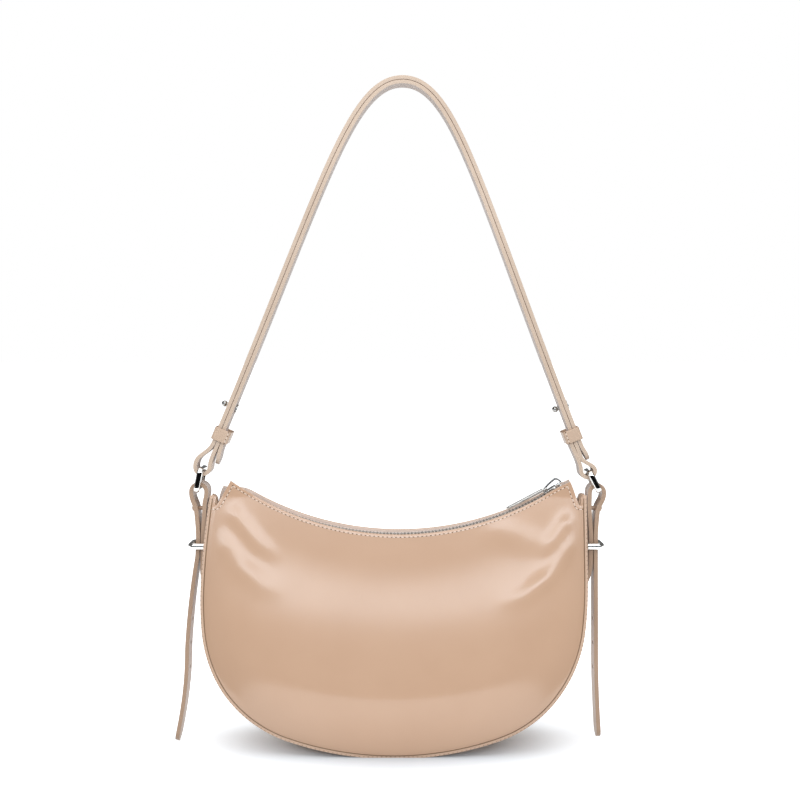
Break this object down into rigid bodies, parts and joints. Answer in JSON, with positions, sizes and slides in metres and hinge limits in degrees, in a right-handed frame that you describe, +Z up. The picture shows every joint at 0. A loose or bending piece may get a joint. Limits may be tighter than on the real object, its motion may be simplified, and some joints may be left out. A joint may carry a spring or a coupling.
{
  "type": "shoulder bag",
  "caption": "Half moon leather shoulder bag with an arched zip, two buckled side straps and a doubled shoulder strap on metal links.",
  "frame": {"origin": "centre of the footprint on the ground, under the middle of the bag", "axes": "+X across the bag to the wearer's right as seen from the front, +Y from the front to the back, +Z up"},
  "size_m": [0.3134, 0.074, 0.4945],
  "materials": {
    "leather": "smooth semi-gloss",
    "lining": "matt",
    "board": "matt",
    "metal": "polished",
    "zip_metal": "polished"
  },
  "bodies": {
    "bag": {"front_panel": "leather", "back_panel": "leather", "gusset": "leather", "front_lining": "lining", "back_lining": "lining", "gusset_lining": "lining", "base_board": "board", "inner_pocket": "lining", "front_zip_tape": "leather", "back_zip_tape": "leather", "front_zip_teeth": "zip_metal", "back_zip_teeth": "zip_metal", "zip_stops": "zip_metal", "side_strap_left": "leather", "side_strap_right": "leather", "side_tail_left": "leather", "side_tail_right": "leather", "side_rivet_left": "metal", "side_rivet_right": "metal"},
    "slider": {"zip_slider": "metal"},
    "puller": {"zip_puller": "metal"},
    "ring_left": {"keeper_ring_left": "metal"},
    "ring_right": {"keeper_ring_right": "metal"},
    "loop_left": {"side_loop_left": "leather"},
    "loop_right": {"side_loop_right": "leather"},
    "left_link": {"link_left": "metal"},
    "right_link": {"link_right": "metal"},
    "shoulder_strap": {"outer_strap": "leather", "inner_strap": "leather", "stud_left": "metal", "stud_right": "metal"},
    "keeper_left": {"strap_keeper_left": "leather"},
    "keeper_right": {"strap_keeper_right": "leather"}
  },
  "joints": [
    {"name": "zip_slide", "type": "hinge", "parent": "bag", "child": "slider", "pos_m": [0, 0, 0.3753], "axis": [0, 1, 0], "range_deg": [0, 57.5], "deforming": ["front_zip_tape", "back_zip_tape", "front_zip_teeth", "back_zip_teeth"]},
    {"name": "puller_swing", "type": "hinge", "parent": "slider", "child": "puller", "pos_m": [0.11074, 0, 0.18844], "axis": [0, 1, 0], "range_deg": [0, 115]},
    {"name": "ring_left_slide", "type": "slide", "parent": "bag", "child": "ring_left", "axis": [0, 0, 1], "range_m": [-0.008, 0.002]},
    {"name": "ring_right_slide", "type": "slide", "parent": "bag", "child": "ring_right", "axis": [0, 0, 1], "range_m": [-0.008, 0.002]},
    {"name": "strap_flop_left", "type": "hinge", "parent": "bag", "child": "loop_left", "pos_m": [-0.145, 0, 0.174], "axis": [1, 0, 0], "range_deg": [-90, 90]},
    {"name": "strap_flop_right", "type": "hinge", "parent": "bag", "child": "loop_right", "pos_m": [0.145, 0, 0.174], "axis": [1, 0, 0], "range_deg": [-90, 90]},
    {"name": "link_left_swing", "type": "hinge", "parent": "loop_left", "child": "left_link", "pos_m": [-0.1487, 0, 0.1879], "axis": [0, 1, 0], "range_deg": [-18, 18]},
    {"name": "strap_swing", "type": "hinge", "parent": "left_link", "child": "shoulder_strap", "pos_m": [-0.14592, 0, 0.20223], "axis": [0, 1, 0], "range_deg": [-19, 19]},
    {"name": "link_right_swing", "type": "hinge", "parent": "loop_right", "child": "right_link", "pos_m": [0.1487, 0, 0.1879], "axis": [0, 1, 0], "range_deg": [-20, 20]},
    {"name": "keeper_left_slide", "type": "slide", "parent": "shoulder_strap", "child": "keeper_left", "axis": [0.3859, 0, 0.9225], "range_m": [-0.0015, 0.008]},
    {"name": "keeper_right_slide", "type": "slide", "parent": "shoulder_strap", "child": "keeper_right", "axis": [-0.3616, 0, 0.9323], "range_m": [-0.0015, 0.008]}
  ],
  "couplings": [
    {"joint": "strap_flop_right", "follows": "strap_flop_left", "ratio": 1},
    {"joint": "link_right_swing", "follows": "link_left_swing", "ratio": 1.1017},
    {"joint": "strap_swing", "follows": "link_left_swing", "ratio": -1.035}
  ]
}
